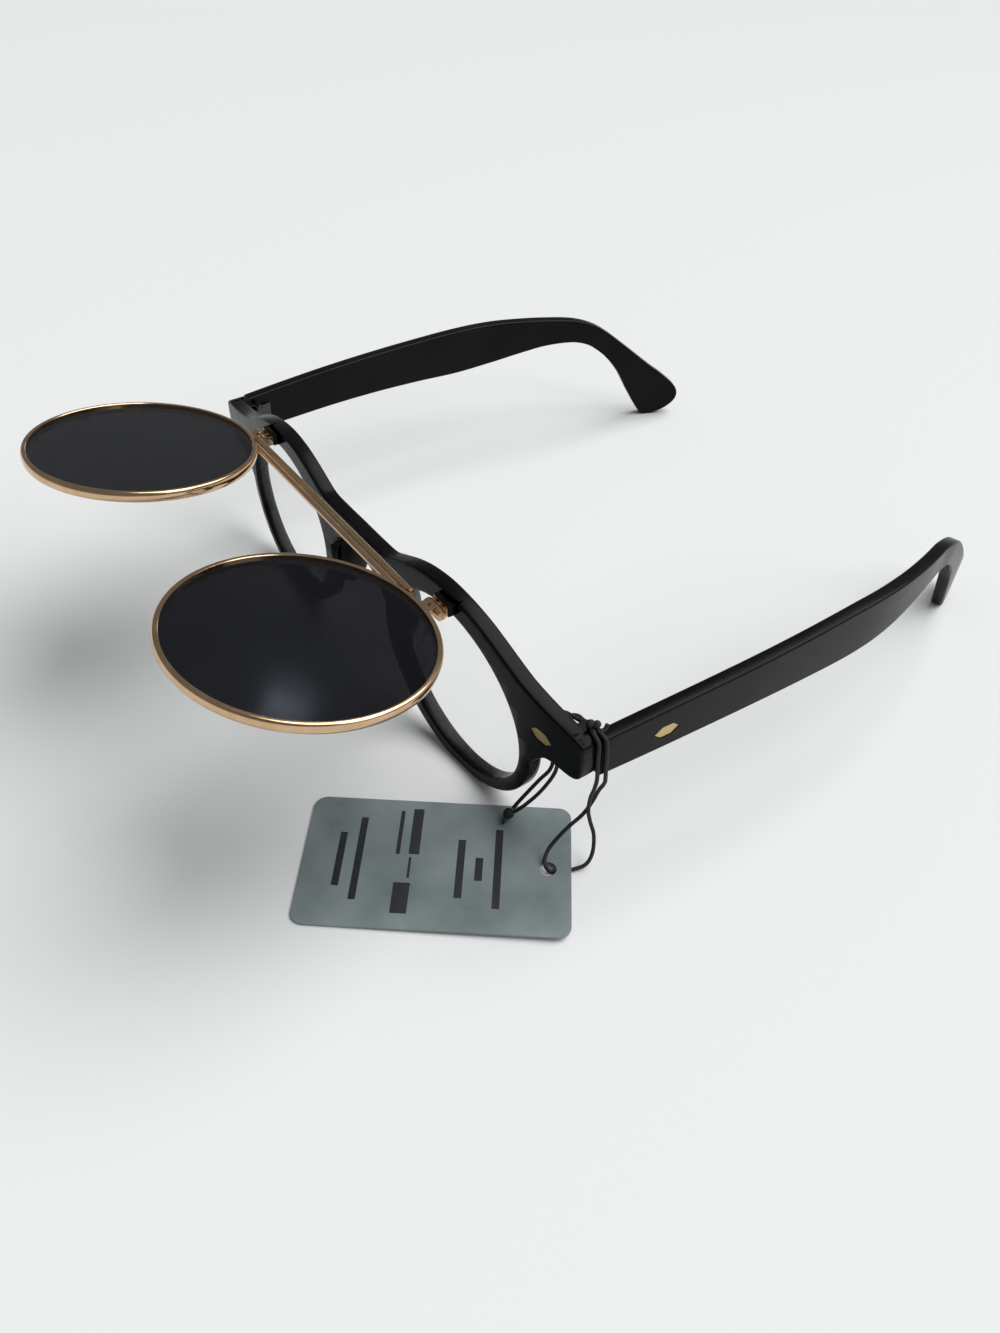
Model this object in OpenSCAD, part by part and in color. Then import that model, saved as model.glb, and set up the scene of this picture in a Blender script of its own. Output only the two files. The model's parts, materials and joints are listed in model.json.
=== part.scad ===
// Round-lens sunglasses: a black moulded front with clear lenses, and a wire-rimmed
// pair of dark lenses on two small hinges that flips up. A card tag hangs on a thread.
// +X is the wearer's left, +Y runs back along the temples, +Z is up.
// The glasses stand on the rim bottoms and the temple tips at z = 0.

/* [Front] */
// Width across the end pieces
front_w = 147; // [143:0.5:150]
// Height from the rim bottoms to the rim tops
front_h = 46.5; // [45:0.5:48]
// Thickness of the moulded front
front_t = 3.5; // [3.2:0.1:4]
// Radius of the wrap that the front follows in plan
wrap_r = 660; // [560:20:900]
// Lean of the front, rim bottoms rearward, in degrees
front_lean = 2.3; // [1.5:0.1:3]
// Distance between the centres of the two lens openings, as a share of the width
lens_pitch_share = 0.4939; // [0.483:0.001:0.499]
// Longest width of each lens opening, as a share of the front's width
open_long_share = 0.2925; // [0.28:0.0025:0.298]
// Shortest width of each lens opening, as a share of the front's height
open_short_share = 0.8043; // [0.755:0.005:0.83]
// Slant of the opening's long way, down towards the temple, in degrees
open_tilt = 33; // [20:1:40]
// Height of the bridge's top edge
bridge_top = 40.9; // [40:0.1:41.8]
// Height of the nose arch under the bridge
arch_top = 34.3; // [33.5:0.1:35.2]
// Width of the rim round the opening
rim_w = 3.05; // [2.85:0.05:3.35]
// Width of the rim at the nose
rim_nose_w = 4.2; // [3.8:0.1:4.6]
// Height of the end pieces
end_h = 10.4; // [9.8:0.2:11]
// Depth of the end pieces, from the front's foremost point to the joint face
end_depth = 8.1; // [7.9:0.1:8.6]

/* [Clear lenses] */
// Thickness of each clear lens
clear_t = 1.4; // [1.2:0.1:1.6]
// How far the clear lens is set back from the front face
clear_set = 1.2; // [0.9:0.1:1.2]
// Depth of the groove that holds the clear lens
groove_d = 0.8; // [0.5:0.1:1]
// Clearance of a lens in its groove
lens_gap = 0.05; // [0.03:0.01:0.1]

/* [Nose pads] */
// How far each moulded nose pad stands out behind the front
pad_reach = 5; // [4:0.5:6]

/* [Temples] */
// Length of a temple along the glasses, joint face to tip
temple_len = 142; // [136:1:148]
// Depth of a temple at the joint face
temple_root_h = 9.5; // [9:0.1:10]
// Thickness of a temple
temple_t = 3; // [2.8:0.1:3.4]
// Outward bow of a temple in plan
temple_bow = 2.3; // [1:0.1:3]
// How far the temple tips turn inward
tip_turn = 17.3; // [14:0.1:19]
// Gap between a temple and its end piece
joint_gap = 0.3; // [0.3:0.05:0.5]

/* [Temple hinges] */
// Radius of the hinge knuckles
barrel_r = 1.3; // [1.2:0.05:1.4]
// Height of one of the three knuckles
barrel_h = 2; // [1.8:0.1:2.2]
// Radius of the hinge screw
screw_r = 0.6; // [0.5:0.05:0.7]
// Height of the middle of the hinge
hinge_mid_z = 30.2; // [29.8:0.1:30.8]
// Thickness of the hinge leaves
leaf_t = 0.8; // [0.6:0.1:0.8]

/* [Rivet plates] */
// Length of a lozenge rivet plate
rivet_l = 5.8; // [5:0.2:6.6]
// Height of a lozenge rivet plate
rivet_w = 2.6; // [2.2:0.1:3]
// Distance of the front plates from the middle
rivet_x = 63; // [62:0.2:63.6]
// Distance of the temple plates behind the joint face
rivet_back = 15; // [14:0.5:16]

/* [Flip-up lenses] */
// Mean inner radius of the wire rims
flip_r = 22.8; // [22.2:0.1:23.2]
// How much longer than wide each lens is, as a ratio
flip_oval = 1.07; // [1:0.01:1.08]
// Distance between the centres of the two dark lenses
flip_pitch = 72.4; // [71.6:0.2:73.2]
// Width of the rim wire
wire_w = 1.1; // [1:0.05:1.3]
// Height of the rim wire
wire_h = 2.2; // [2:0.1:2.5]
// Thickness of each dark lens
dark_t = 1.2; // [1:0.1:1.3]
// Angle that the lenses are raised above level
flip_up = 9.1; // [5:0.1:14]
// Angle that each lens turns back from the other, following the wrap
flip_wrap = 3.7; // [2:0.1:4.5]
// Distance from the rim wire's outer edge to the hinge axis
flip_out = 3.5; // [3.1:0.1:4.1]
// Drop of the hinge axis below the rims' top plane
flip_drop = 2.4; // [2.3:0.05:2.7]
// Radius of the upper bar
bar_upper_r = 0.75; // [0.6:0.05:0.9]
// Radius of the lower bar
bar_lower_r = 0.6; // [0.5:0.05:0.7]

/* [Flip hinges] */
// Distance of each flip hinge from the middle
flip_x = 36.2; // [35.6:0.2:36.8]
// Depth of the flip hinges' axis below the rim tops
flip_below = 1.9; // [1.7:0.1:2.3]
// Distance of the flip hinge axis in front of the front's foremost point
flip_ahead = 3.4; // [3.3:0.1:3.9]
// Radius of the flip hinge knuckles
knuckle_r = 1.15; // [1:0.05:1.25]
// Width of one of the five flip hinge knuckles
knuckle_w = 0.85; // [0.75:0.05:0.95]
// Radius of the flip hinge screw
pin_r = 0.5; // [0.4:0.05:0.6]
// Running clearance round the hinge screws
run_gap = 0.05; // [0.03:0.01:0.08]

/* [Tag and thread] */
// Length of the card tag
tag_l = 53; // [48:1:56]
// Width of the card tag
tag_w = 31; // [28:1:33]
// Thickness of the card tag
tag_t = 0.5; // [0.4:0.05:0.6]
// Radius of the tag's corners
tag_corner = 2.6; // [1.5:0.1:4]
// Radius of the hole in the tag
tag_hole_r = 1.7; // [1.6:0.1:2]
// Diameter of the thread
thread_d = 0.8; // [0.6:0.1:0.8]

/* [Hidden] */

// Fine curves for round solids, coarser ones for the wide wrap and for hulled shapes
round_fn = 64;
wrap_fn = 720;
hull_fn = 24;
// A little extra so that cuts pass right through
over = 1;

// The front's outline
half_w = front_w / 2;
lens_x = front_w * lens_pitch_share / 2;
foot_cut = 0.35;
open_a = front_w * open_long_share / 2;
open_b = front_h * open_short_share / 2;
open_down = norm([open_a * sin(open_tilt), open_b * cos(open_tilt)]);
open_across = norm([open_a * cos(open_tilt), open_b * sin(open_tilt)]);
lens_z = rim_w - foot_cut + open_down;
nose_x = lens_x - open_across - rim_nose_w;
end_top = front_h - 10.9;
end_low = end_top - end_h;

// Places of the temple joint, measured from the front's foremost point
joint_y = end_depth;
temple_y = joint_y + joint_gap;
temple_x = half_w + 0.4;
barrel_y = joint_y + barrel_r + joint_gap;
barrel_x = temple_x - temple_t - joint_gap - barrel_r;
barrel_gap = 0.06;

// The flip hinge: five knuckles side by side
flip_z = front_h - flip_below;
flip_reach = flip_r + wire_w + flip_out;
knuckle_gap = 0.05;
knuckle_step = knuckle_w + knuckle_gap;
boss_depth = flip_ahead - knuckle_r - 0.45;
boss_w = 5 * knuckle_step + 0.7;
boss_h = 2.6;

// The wire rims
wire_groove = 0.5;
dark_set = 0.6;
oval_a = sqrt(flip_oval);
oval_b = 1 / oval_a;
oval_turn = 62;

// The model's middle along Y stands at y = 0
rim_reach = flip_reach + (flip_r + wire_w) * 1.018;
fore_y = -flip_ahead - rim_reach * cos(flip_up) - flip_drop * sin(flip_up);
aft_y = temple_y + temple_len;
mid_y = (fore_y + aft_y) / 2;

// The tag lies on the table with its hole end propped on the thread
thread_r = thread_d / 2;
tag_turn = 52;
tag_mid = [58.4, -16.8];
hole_in = 4.6;
tag_lift = asin((thread_d + 0.1) / (tag_l - hole_in - tag_hole_r));

// Catmull-Rom curve through a list of points
function curve_at(a, b, c, d, t) =
    0.5 * (2 * b + (c - a) * t + (2 * a - 5 * b + 4 * c - d) * t * t
        + (3 * b - a - 3 * c + d) * t * t * t);
function curve(p, n, last = true) = [
    for (i = [0 : len(p) - 2], k = [0 : n - 1])
        curve_at(p[max(i - 1, 0)], p[i], p[i + 1], p[min(i + 2, len(p) - 1)], k / n),
    if (last) p[len(p) - 1]];

// Edge of a lens opening: an ellipse with its long way slanting down to the temple
function open_r(a, grow = 0) =
    let (t = a + open_tilt, p = open_a + grow, q = open_b + grow)
        p * q / norm([q * cos(t), p * sin(t)]);
function opening(grow, n = 96) = [
    for (i = [0 : n - 1])
        let (a = i * 360 / n, r = open_r(a, grow))
            [lens_x + r * cos(a), lens_z + r * sin(a)]];

// Outer edge of the rim below the end piece, from the temple side round to the nose
function rim_edge(a) =
    let (r = open_r(a) + rim_w + (rim_nose_w - rim_w) * max(0, -cos(a)))
        [lens_x + r * cos(a), lens_z + r * sin(a)];
// A point of the brow: how far out as a share of the half width, and how far below the top
function brow(share, drop) = [half_w * share, front_h - drop];
brow_line = curve([
    [0, bridge_top], [half_w * 0.116, bridge_top - 0.1], [half_w * 0.177, bridge_top + 0.1],
    brow(0.231, 3.9), brow(0.286, 2.2), brow(0.34, 0.9), brow(0.395, 0.2), brow(0.449, 0),
    brow(0.503, 0.4), brow(0.558, 1.2), brow(0.612, 2.4), brow(0.667, 4.1), brow(0.721, 6),
    brow(0.776, 7.8), brow(0.83, 9), brow(0.898, 10.1),
    [half_w - 2.4, end_top]], 5);
end_corner = curve([
    [half_w - 2.4, end_top], [half_w - 0.6, end_top - 0.7], [half_w, end_top - 2.2],
    [half_w, end_low + 3], [half_w - 0.8, end_low + 0.9], [half_w - 2.8, end_low + 0.1],
    [half_w - 6.8, end_low], [half_w - 9.2, end_low - 0.6], [half_w - 10.9, end_low - 2.2],
    rim_edge(-6)], 5);
rim_arc = [for (a = [-10 : -5 : -190]) rim_edge(a)];
nose_arch = curve([
    rim_edge(-194), [nose_x - 0.9, lens_z + 7.5], [nose_x - 2.9, arch_top - 1.9],
    [6, arch_top - 0.5], [3, arch_top - 0.1], [0, arch_top]], 5);
half_outline = concat(brow_line, end_corner, rim_arc, nose_arch);

// A slab bent to the front's wrap, between two depths
module wrap_band(y0, y1, h) {
    translate([0, wrap_r, -over])
        difference() {
            cylinder(r = wrap_r - y0, h = h, $fn = wrap_fn);
            translate([0, 0, -over])
                cylinder(r = wrap_r - y1, h = h + 2 * over, $fn = wrap_fn);
        }
}

// Upright extrusion of an outline in x and z, from y = y0 to y1
module upright(points, y0, y1) {
    translate([0, y1, 0])
        rotate([90, 0, 0])
            linear_extrude(height = y1 - y0)
                polygon(points);
}

// The whole model is drawn from the front's foremost point, then centred
module placed() {
    translate([0, -mid_y, 0]) children();
}

module both_sides() {
    children();
    mirror([1, 0, 0]) children();
}

// Everything on the front leans with it
module leaned() {
    translate([0, 0, front_h / 2])
        rotate([front_lean, 0, 0])
            translate([0, 0, -front_h / 2])
                children();
}

// Where the wrapped front face lies at a distance from the middle
function face_y(x) = wrap_r - sqrt(wrap_r * wrap_r - x * x);
function face_turn(x) = asin(x / wrap_r);

// Stations on the front face, with +Y into the moulding
module on_face(x, z) {
    leaned()
        translate([x, face_y(x), z])
            rotate([0, 0, face_turn(x)])
                children();
}

// Lozenge lying in x and z, standing proud of y = 0 towards +Y
module lozenge(l, w, t) {
    tip = w * 0.62;
    rotate([90, 0, 0])
        mirror([0, 0, 1])
            linear_extrude(height = t)
                polygon([[-l / 2, 0], [-l / 2 + tip, w / 2], [l / 2 - tip, w / 2],
                    [l / 2, 0], [l / 2 - tip, -w / 2], [-l / 2 + tip, -w / 2]]);
}
rivet_plate_t = 0.6;
rivet_sunk = 0.15;
rivet_gap = 0.05;
rivet_pin_r = 0.6;
front_rivet_z = end_low + end_h / 2 - 0.7;

module front_rivet_seat() {
    on_face(rivet_x, front_rivet_z) {
        translate([0, -over, 0])
            lozenge(rivet_l + 0.3, rivet_w + 0.3, over + rivet_sunk + rivet_plate_t + rivet_gap);
        rotate([-90, 0, 0])
            cylinder(r = rivet_pin_r + rivet_gap, h = 3, $fn = round_fn);
    }
}

module front_rivet() {
    color([0.72, 0.52, 0.2])
        on_face(rivet_x, front_rivet_z) {
            translate([0, rivet_sunk, 0]) lozenge(rivet_l, rivet_w, rivet_plate_t);
            rotate([-90, 0, 0])
                translate([0, 0, rivet_sunk])
                    cylinder(r = rivet_pin_r, h = 2.7, $fn = round_fn);
        }
}

// Blocks behind the end pieces bring them back to the flat joint face, below the top edge
block_in = half_w - 10.5;
block_top = hinge_mid_z + 3.2;
module end_blocks() {
    both_sides() {
        linear_extrude(height = block_top)
            polygon([[block_in, 3], [block_in + 1, joint_y], [half_w + over, joint_y],
                [half_w + over, face_y(half_w) + 1]]);
        linear_extrude(height = front_h)
            polygon([[half_w - 5, face_y(half_w - 5) + front_t - 0.4], [half_w - 3, joint_y],
                [half_w + over, joint_y], [half_w + over, face_y(half_w) + 1]]);
    }
}

// Raised seats for the two flip hinges
module flip_bosses() {
    both_sides()
        translate([flip_x - boss_w / 2, -boss_depth, flip_z - boss_h / 2])
            cube([boss_w, boss_depth + 2, boss_h]);
}

module nose_pads() {
    both_sides()
        hull() {
            translate([nose_x + 0.8, front_t - 1, lens_z + 7])
                rotate([0, 12, 0]) scale([1.5, 1, 4.2]) sphere(r = 1, $fn = hull_fn);
            translate([nose_x + 2.2, front_t - 1, lens_z - 5])
                rotate([0, -8, 0]) scale([1.5, 1, 3.4]) sphere(r = 1, $fn = hull_fn);
            translate([nose_x - 0.4, front_t + pad_reach - 1.2, lens_z + 2])
                rotate([0, 4, 0]) scale([1, 1.2, 6.4]) sphere(r = 1, $fn = hull_fn);
        }
}

module front_frame() {
    color([0.05, 0.05, 0.055])
        placed()
            difference() {
                union() {
                    leaned()
                        difference() {
                            union() {
                                intersection() {
                                    union() {
                                        wrap_band(0, front_t, front_h + 6);
                                        end_blocks();
                                    }
                                    both_sides() upright(half_outline, -over, joint_y + over);
                                }
                                nose_pads();
                            }
                            both_sides() upright(opening(0), -over, front_t + 4);
                            both_sides()
                                intersection() {
                                    wrap_band(clear_set - lens_gap,
                                        clear_set + clear_t + lens_gap, front_h + 6);
                                    upright(opening(groove_d + lens_gap), -over, front_t + 4);
                                }
                        }
                    flip_bosses();
                }
                both_sides() front_rivet_seat();
                both_sides() flip_mount_seat();
                both_sides() front_leaf_seat();
                // The joint faces and the feet are flat
                both_sides()
                    translate([half_w - 12, joint_y, 0]) cube([13, 6, front_h]);
                translate([-half_w, -6, -6]) cube([front_w, 24, 6]);
            }
}

module clear_lens() {
    color([0.86, 0.9, 0.92, 0.35])
        placed()
            leaned()
                intersection() {
                    wrap_band(clear_set, clear_set + clear_t, front_h + 6);
                    upright(opening(groove_d), -over, front_t + 4);
                }
}

// Temple: its side outline in y and z, cut to a bowed strip seen from above
root_top = end_top - 0.4;
root_low = root_top - temple_root_h;
function back(d) = temple_y + d * temple_len / 142;
temple_side = concat(
    curve([
        [back(0), root_top], [back(11), root_top + 0.6], [back(25), root_top + 1.2],
        [back(39), root_top + 1.6], [back(53), root_top + 1.9], [back(67), root_top + 2.1],
        [back(79), root_top + 1.8], [back(89), root_top + 1.1], [back(97), root_top + 0.4],
        [back(105), root_top - 0.6], [back(111.5), root_top - 2.7],
        [back(117), root_top - 6], [back(125), root_top - 12.4], [back(132), root_top - 18.2],
        [back(136.5), root_top - 21.7], [back(140.8), root_top - 25.7],
        [back(142), root_top - 28.6], [back(141.2), root_top - 31.2],
        [back(138.8), root_top - 33.4], [back(136), root_top - 34.7],
        [back(133), -foot_cut]], 5, false),
    curve([
        [back(133), -foot_cut], [back(131), 0.5], [back(129), 3.2], [back(125.4), 9.2],
        [back(121.7), 15.7], [back(117.6), 20.8], [back(114.2), 23.8], [back(110.4), 26.2],
        [back(105), 27.6], [back(97), 27.5], [back(89), 26.4], [back(79), 25.1],
        [back(67), 24.5], [back(53), 25.1], [back(39), 25.6], [back(25), 25.8],
        [back(11), 25.7], [back(0), root_low]], 5));
function bow_x(d) = temple_x + temple_bow * sin(min(d, 104) * 180 / 104)
    - tip_turn * pow(max(0, (d - 72) / 70), 1.85);
strip_steps = 28;
function strip_d(i) = i * 143 / strip_steps;
function strip_turn(d) = atan((bow_x(d + 0.5) - bow_x(d - 0.5)));
strip_outer = [for (i = [0 : strip_steps]) [bow_x(strip_d(i)), back(strip_d(i))]];
strip_inner = [
    for (i = [strip_steps : -1 : 0])
        let (a = strip_turn(strip_d(i)))
            [bow_x(strip_d(i)) - temple_t * cos(a),
                max(back(strip_d(i)) + temple_t * sin(a), temple_y)]];

module temple_blank() {
    intersection() {
        rotate([90, 0, 90])
            linear_extrude(height = temple_x + 12)
                polygon(temple_side);
        linear_extrude(height = front_h)
            polygon(concat(strip_outer, strip_inner));
    }
}

temple_rivet_z = hinge_mid_z;
temple_rivet_turn = -strip_turn(rivet_back);
module on_temple() {
    translate([bow_x(rivet_back), back(rivet_back), temple_rivet_z])
        rotate([0, 0, 90 + temple_rivet_turn])
            children();
}

module temple() {
    color([0.05, 0.05, 0.055])
        placed()
            difference() {
                temple_blank();
                on_temple() {
                    translate([0, -over, 0])
                        lozenge(rivet_l + 0.3, rivet_w + 0.3,
                            over + rivet_sunk + rivet_plate_t + rivet_gap);
                    rotate([-90, 0, 0])
                        cylinder(r = rivet_pin_r + rivet_gap, h = 2.4, $fn = round_fn);
                }
                temple_leaf_seat();
            }
}

module temple_rivet() {
    color([0.72, 0.52, 0.2])
        placed()
            on_temple() {
                translate([0, rivet_sunk, 0]) lozenge(rivet_l, rivet_w, rivet_plate_t);
                rotate([-90, 0, 0])
                    translate([0, 0, rivet_sunk])
                        cylinder(r = rivet_pin_r, h = 2.1, $fn = round_fn);
            }
}

// Temple hinge: the front leaf has the middle knuckle, the temple leaf the outer two
barrel_low = hinge_mid_z - 1.5 * barrel_h - barrel_gap;
leaf_h = 3 * barrel_h + 2 * barrel_gap - 1;
front_leaf_w = 5;
temple_leaf_l = 6;
leaf_sink = 0.4;

module knuckle(z) {
    translate([barrel_x, barrel_y, z])
        cylinder(r = barrel_r, h = barrel_h, $fn = round_fn);
}

module hinge_bore(r) {
    translate([barrel_x, barrel_y, barrel_low - 4])
        cylinder(r = r, h = 3 * barrel_h + 8, $fn = round_fn);
}

module front_leaf_seat() {
    translate([barrel_x - front_leaf_w - 0.05, joint_y - leaf_sink, hinge_mid_z - leaf_h / 2 - 0.05])
        cube([front_leaf_w + barrel_r + 0.1, leaf_sink + over, leaf_h + 0.1]);
}

module front_leaf() {
    middle_z = barrel_low + barrel_h + barrel_gap;
    color([0.62, 0.6, 0.56])
        placed()
            difference() {
                union() {
                    translate([barrel_x - front_leaf_w, joint_y - leaf_sink,
                            hinge_mid_z - leaf_h / 2])
                        cube([front_leaf_w - barrel_r - 0.15, leaf_t, leaf_h]);
                    translate([barrel_x - front_leaf_w, joint_y - leaf_sink, middle_z])
                        cube([front_leaf_w + barrel_r, leaf_t, barrel_h]);
                    translate([barrel_x - barrel_r, joint_y - leaf_sink, middle_z])
                        cube([2 * barrel_r, barrel_y - joint_y + leaf_sink, barrel_h]);
                    knuckle(middle_z);
                }
                hinge_bore(screw_r + run_gap);
            }
}

module temple_leaf_seat() {
    translate([bow_x(0) - temple_t - 1, temple_y - over, hinge_mid_z - leaf_h / 2 - 0.05])
        rotate([0, 0, -strip_turn(6)])
            cube([1 + leaf_sink, temple_leaf_l + over, leaf_h + 0.1]);
}

module temple_leaf() {
    inner_x = bow_x(0) - temple_t;
    color([0.62, 0.6, 0.56])
        placed()
            difference() {
                union() {
                    translate([inner_x - 1, temple_y, hinge_mid_z - leaf_h / 2])
                        rotate([0, 0, -strip_turn(6)])
                            translate([1 + leaf_sink - 0.05 - leaf_t, barrel_r + 1.2, 0])
                                cube([leaf_t, temple_leaf_l - barrel_r - 1.3, leaf_h]);
                    for (z = [barrel_low, barrel_low + 2 * (barrel_h + barrel_gap)]) {
                        knuckle(z);
                        translate([barrel_x, barrel_y - barrel_r + 0.15, z])
                            cube([inner_x - barrel_x - 0.05, 2 * barrel_r, barrel_h]);
                    }
                    translate([inner_x + leaf_sink - 0.1 - leaf_t, barrel_y + barrel_r + 0.1,
                            hinge_mid_z - leaf_h / 2])
                        cube([leaf_t, 2, leaf_h]);
                }
                hinge_bore(screw_r + run_gap);
            }
}

module hinge_screw() {
    head_h = 0.7;
    top_z = hinge_mid_z + 1.5 * barrel_h + barrel_gap + 0.05;
    color([0.7, 0.68, 0.64])
        placed()
            translate([barrel_x, barrel_y, 0])
                difference() {
                    union() {
                        translate([0, 0, barrel_low - 0.2])
                            cylinder(r = screw_r, h = top_z - barrel_low + 0.2, $fn = round_fn);
                        translate([0, 0, top_z])
                            cylinder(r = barrel_r - 0.1, h = head_h, $fn = round_fn);
                    }
                    translate([-2, -0.18, top_z + head_h - 0.35]) cube([4, 0.36, 1]);
                }
}

// Flip hinge: knuckles 1, 3 and 5 belong to the mount, 2 and 4 to the moving leaf
function knuckle_at(i) = flip_x + (i - 2.5) * knuckle_step + knuckle_gap / 2;
module flip_knuckle(i) {
    translate([knuckle_at(i), -flip_ahead, flip_z])
        rotate([0, 90, 0])
            cylinder(r = knuckle_r, h = knuckle_w, $fn = round_fn);
}

module flip_bore(r) {
    translate([flip_x - 5 * knuckle_step, -flip_ahead, flip_z])
        rotate([0, 90, 0])
            cylinder(r = r, h = 10 * knuckle_step, $fn = round_fn);
}

mount_plate_t = 0.5;
mount_plate_h = 2;
mount_plate_w = 5 * knuckle_step + 0.2;
module flip_mount_seat() {
    translate([flip_x - mount_plate_w / 2 - 0.05, -boss_depth - over,
            flip_z - mount_plate_h / 2 - 0.05])
        cube([mount_plate_w + 0.1, over + mount_plate_t - 0.1, mount_plate_h + 0.1]);
}

module flip_mount() {
    color([0.78, 0.6, 0.35])
        placed()
            difference() {
                union() {
                    translate([flip_x - mount_plate_w / 2, -boss_depth - 0.1,
                            flip_z - mount_plate_h / 2])
                        cube([mount_plate_w, mount_plate_t - 0.05, mount_plate_h]);
                    for (i = [0, 2, 4]) {
                        flip_knuckle(i);
                        translate([knuckle_at(i), -flip_ahead, flip_z - knuckle_r])
                            cube([knuckle_w, flip_ahead - boss_depth, 2 * knuckle_r - 0.5]);
                    }
                }
                flip_bore(pin_r + run_gap);
            }
}

module flip_screw() {
    outer_x = knuckle_at(4) + knuckle_w + 0.05;
    inner_x = knuckle_at(0) - 0.3;
    color([0.78, 0.6, 0.35])
        placed()
            translate([0, -flip_ahead, flip_z])
                rotate([0, 90, 0])
                    difference() {
                        union() {
                            translate([0, 0, inner_x])
                                cylinder(r = pin_r, h = outer_x - inner_x, $fn = round_fn);
                            translate([0, 0, outer_x])
                                cylinder(r = knuckle_r - 0.1, h = 0.6, $fn = round_fn);
                        }
                        translate([-2, -0.16, outer_x + 0.3]) cube([4, 0.32, 1]);
                    }
}

// The raised pair: drawn flat with the lens centres on y = 0 and the rims' top at z = 0
module raised() {
    placed()
        translate([0, -flip_ahead, flip_z])
            rotate([-flip_up, 0, 0])
                translate([0, -flip_reach, flip_drop])
                    children();
}

module on_ring() {
    translate([flip_pitch / 2, 0, 0])
        rotate([0, flip_wrap, 0])
            rotate([0, 0, oval_turn])
                scale([oval_a, oval_b, 1])
                    children();
}

module wire_rim() {
    outer = flip_r + wire_w;
    crown = 0.12;
    color([0.8, 0.62, 0.38])
        on_ring()
            rotate_extrude($fn = 180)
                polygon([
                    [flip_r, 0], [outer - crown, 0], [outer, -0.3 * wire_h],
                    [outer, -0.7 * wire_h], [outer - crown, -wire_h], [flip_r, -wire_h],
                    [flip_r, -dark_set - dark_t - lens_gap],
                    [flip_r + wire_groove, -dark_set - dark_t - lens_gap],
                    [flip_r + wire_groove, -dark_set + lens_gap],
                    [flip_r, -dark_set + lens_gap]]);
}

module dark_lens() {
    color([0.06, 0.07, 0.09, 0.85])
        on_ring()
            translate([0, 0, -dark_set - dark_t])
                cylinder(r = flip_r + wire_groove - lens_gap, h = dark_t, $fn = 180);
}

module ring_space(grow) {
    on_ring()
        translate([0, 0, -wire_h - 2])
            cylinder(r = flip_r + wire_w + grow, h = wire_h + 4, $fn = 180);
}

// The moving leaf: a tongue soldered to the rim, with the two inner knuckles
tongue_w = 3.4;
tongue_t = 0.9;
module flip_leaf() {
    color([0.8, 0.62, 0.38])
        difference() {
            union() {
                raised()
                    difference() {
                        union() {
                            translate([flip_x - tongue_w / 2, flip_r - 1, -wire_h])
                                cube([tongue_w, flip_reach - flip_r + 1 - knuckle_r - 0.25, tongue_t]);
                            for (i = [1, 3])
                                translate([knuckle_at(i), flip_reach - knuckle_r - 0.4, -wire_h - 0.3])
                                    cube([knuckle_w, knuckle_r + 0.4, tongue_t + 0.3]);
                        }
                        ring_space(0);
                    }
                placed() for (i = [1, 3]) flip_knuckle(i);
            }
            placed() flip_bore(pin_r + run_gap);
        }
}

upper_bar_y = flip_r + wire_w + 0.35;
lower_bar_y = upper_bar_y - bar_upper_r - bar_lower_r - 0.15;
module bar(y, z, r, half) {
    color([0.8, 0.62, 0.38])
        raised()
            difference() {
                translate([-half, y, z])
                    rotate([0, 90, 0])
                        cylinder(r = r, h = 2 * half, $fn = round_fn);
                both_sides() ring_space(0);
            }
}
module upper_bar() { bar(upper_bar_y, -0.3, bar_upper_r, flip_pitch / 2 - 3.6); }
module lower_bar() { bar(lower_bar_y, -0.6, bar_lower_r, flip_pitch / 2 - 6.8); }

// Card tag, its hole end up on the thread
module hang_tag() {
    sx = tag_l / 2 - tag_corner;
    sy = tag_w / 2 - tag_corner;
    color([0.5, 0.56, 0.58])
        placed()
            translate([tag_mid[0], tag_mid[1], 0])
                rotate([0, 0, tag_turn])
                    translate([-tag_l / 2, 0, 0])
                        rotate([0, -tag_lift, 0])
                            translate([tag_l / 2, 0, 0])
                                difference() {
                                    linear_extrude(height = tag_t)
                                        union() {
                                            square([2 * sx, tag_w], center = true);
                                            square([tag_l, 2 * sy], center = true);
                                            for (x = [-sx, sx], y = [-sy, sy])
                                                translate([x, y])
                                                    circle(r = tag_corner, $fn = round_fn);
                                        }
                                    translate([tag_l / 2 - hole_in, 0, -over])
                                        cylinder(r = tag_hole_r, h = 4, $fn = round_fn);
                                }
}

// Thread: tubes swept along routes chosen by hand, then curved
function unit(v) = v / norm(v);
function tangent(p, i) = unit(p[min(i + 1, len(p) - 1)] - p[max(i - 1, 0)]);
function side_of(t) = unit(cross(t, abs(t[2]) > 0.9 ? [1, 0.3, 0] : [0, 0, 1]));
function ring_of(p, i, r, sides) =
    let (t = tangent(p, i), u = side_of(t), w = cross(t, u))
        [for (k = [0 : sides - 1])
            p[i] + r * (u * cos(k * 360 / sides) + w * sin(k * 360 / sides))];
thread_sides = 8;
module tube(route, r, n) {
    p = curve(route, n);
    m = len(p);
    s = thread_sides;
    polyhedron(
        points = [for (i = [0 : m - 1]) each ring_of(p, i, r, s)],
        faces = concat(
            [[for (k = [0 : s - 1]) k]],
            [for (i = [0 : m - 2], k = [0 : s - 1])
                [i * s + k, (i + 1) * s + k, (i + 1) * s + (k + 1) % s, i * s + (k + 1) % s]],
            [[for (k = [s - 1 : -1 : 0]) (m - 1) * s + k]]));
}

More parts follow.
